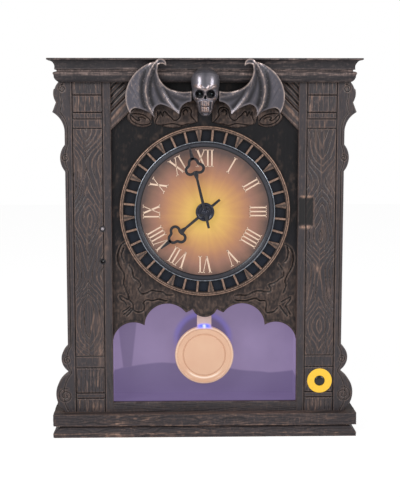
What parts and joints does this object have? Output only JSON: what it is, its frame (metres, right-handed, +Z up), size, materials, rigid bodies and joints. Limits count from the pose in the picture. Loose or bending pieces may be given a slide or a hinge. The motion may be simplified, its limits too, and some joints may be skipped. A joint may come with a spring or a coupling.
{
  "type": "mantel clock",
  "caption": "Free-standing battery mantel clock with openwork dial bezel, lit pendulum chamber and a skull and bat wing crest.",
  "frame": {"origin": "middle of the underside of the plinth", "axes": "+Z up, -Y towards the viewer of the dial, +X to the viewer's right"},
  "size_m": [0.3482, 0.104, 0.428],
  "materials": {
    "black_carving": "moulded resin carved like wood, matt black with copper dry-brushed edges",
    "dark_panel": "moulded resin, almost black, with faint rusty mottling",
    "aged_copper": "plastic under copper paint with dark recesses",
    "dial_amber": "translucent printed sheet, lit from behind, yellow in the middle and copper at the rim",
    "hand_black": "stamped hands in satin black",
    "gunmetal": "resin under gunmetal lacquer, semi-gloss",
    "bob_cream": "moulded pendulum in pale cream, lit from inside the chamber",
    "chamber_wall": "smooth grey panel that takes the purple light",
    "housing_black": "fine-grained black moulding",
    "white_moulding": "plain white moulding inside the case",
    "circuit_green": "solder-masked glass laminate",
    "lens_clear": "clear epoxy lens",
    "lens_violet": "tinted epoxy lens",
    "lens_blue": "tinted epoxy lens",
    "lens_dark": "dark filter epoxy",
    "yellow_disc": "printed yellow sheet, plain",
    "button_rubber": "black silicone rubber",
    "steel": "zinc-plated steel",
    "brass_gear": "stamped brass",
    "copper_coil": "enamelled copper wire",
    "speaker_paper": "doped paper cone",
    "cell_wrap": "plain shrink sleeve"
  },
  "bodies": {
    "case": {"front_frame": "black_carving", "dial_panel": "dark_panel", "scroll_board": "dark_panel", "bezel_ring": "aged_copper", "dial_face": "dial_amber", "light_reflector": "white_moulding", "dial_light_board": "circuit_green", "dial_leds": "lens_clear", "crown_cornice": "black_carving", "base_ledge": "black_carving", "base_plinth": "black_carving", "rear_housing": "housing_black", "chamber_liner": "chamber_wall", "chamber_light_board": "circuit_green", "chamber_leds": "lens_violet", "battery_box": "housing_black", "batteries": "cell_wrap", "battery_contacts": "steel", "speaker_basket": "steel", "speaker_cone": "speaker_paper", "circuit_board": "circuit_green", "board_components": "housing_black", "power_switch": "housing_black", "movement_case": "housing_black", "movement_cover": "housing_black", "movement_nut": "brass_gear", "motor_stator": "steel", "motor_coil": "copper_coil", "button_ring": "yellow_disc", "button_housing": "housing_black", "button_switch": "housing_black", "ir_emitter": "lens_clear", "ir_receiver": "lens_dark", "sensor_holder": "housing_black", "skull": "gunmetal", "eye_leds": "lens_blue", "wing_left": "gunmetal", "wing_right": "gunmetal", "crest_mount": "black_carving", "pendulum_bracket": "housing_black", "pivot_pin": "steel", "drive_coil": "copper_coil", "case_screws": "steel", "panel_screws": "steel", "base_screws": "steel", "board_screws": "steel"},
    "minute_work": {"minute_arbor": "brass_gear", "drive_wheel": "brass_gear", "minute_hand": "hand_black", "hand_cap": "hand_black"},
    "motion_work": {"motion_wheel": "brass_gear"},
    "hour_work": {"hour_wheel": "brass_gear", "hour_hand": "hand_black"},
    "rotor": {"motor_rotor": "steel"},
    "pendulum": {"pendulum_rod": "bob_cream", "pendulum_bob": "bob_cream", "pendulum_magnet": "steel"},
    "button": {"try_button": "button_rubber"},
    "door": {"battery_door": "housing_black"},
    "slider": {"power_slider": "housing_black"}
  },
  "joints": [
    {"name": "minute_spin", "type": "hinge", "parent": "case", "child": "minute_work", "pos_m": [0, 0, 0.2575], "axis": [0, 1, 0], "continuous": true},
    {"name": "motion_spin", "type": "hinge", "parent": "case", "child": "motion_work", "pos_m": [0.012, 0, 0.2575], "axis": [0, 1, 0], "continuous": true},
    {"name": "hour_spin", "type": "hinge", "parent": "case", "child": "hour_work", "pos_m": [0, 0, 0.2575], "axis": [0, 1, 0], "continuous": true},
    {"name": "rotor_spin", "type": "hinge", "parent": "case", "child": "rotor", "pos_m": [0, 0, 0.2431], "axis": [0, 1, 0], "continuous": true},
    {"name": "pendulum_swing", "type": "hinge", "parent": "case", "child": "pendulum", "pos_m": [0, 0.0088, 0.168], "axis": [0, 1, 0], "range_deg": [-15, 15]},
    {"name": "button_press", "type": "slide", "parent": "case", "child": "button", "axis": [0, 1, 0], "range_m": [0, 0.0025], "stiffness_N_per_m": 400},
    {"name": "door_hinge", "type": "hinge", "parent": "case", "child": "door", "pos_m": [0, 0.0469, 0.058], "axis": [-1, 0, 0], "range_deg": [0, 90]},
    {"name": "power_slide", "type": "slide", "parent": "case", "child": "slider", "axis": [1, 0, 0], "range_m": [0, 0.005]}
  ],
  "couplings": [
    {"joint": "motion_spin", "follows": "minute_spin", "ratio": -0.33333},
    {"joint": "hour_spin", "follows": "minute_spin", "ratio": 0.083333},
    {"joint": "rotor_spin", "follows": "minute_spin", "ratio": -5}
  ]
}
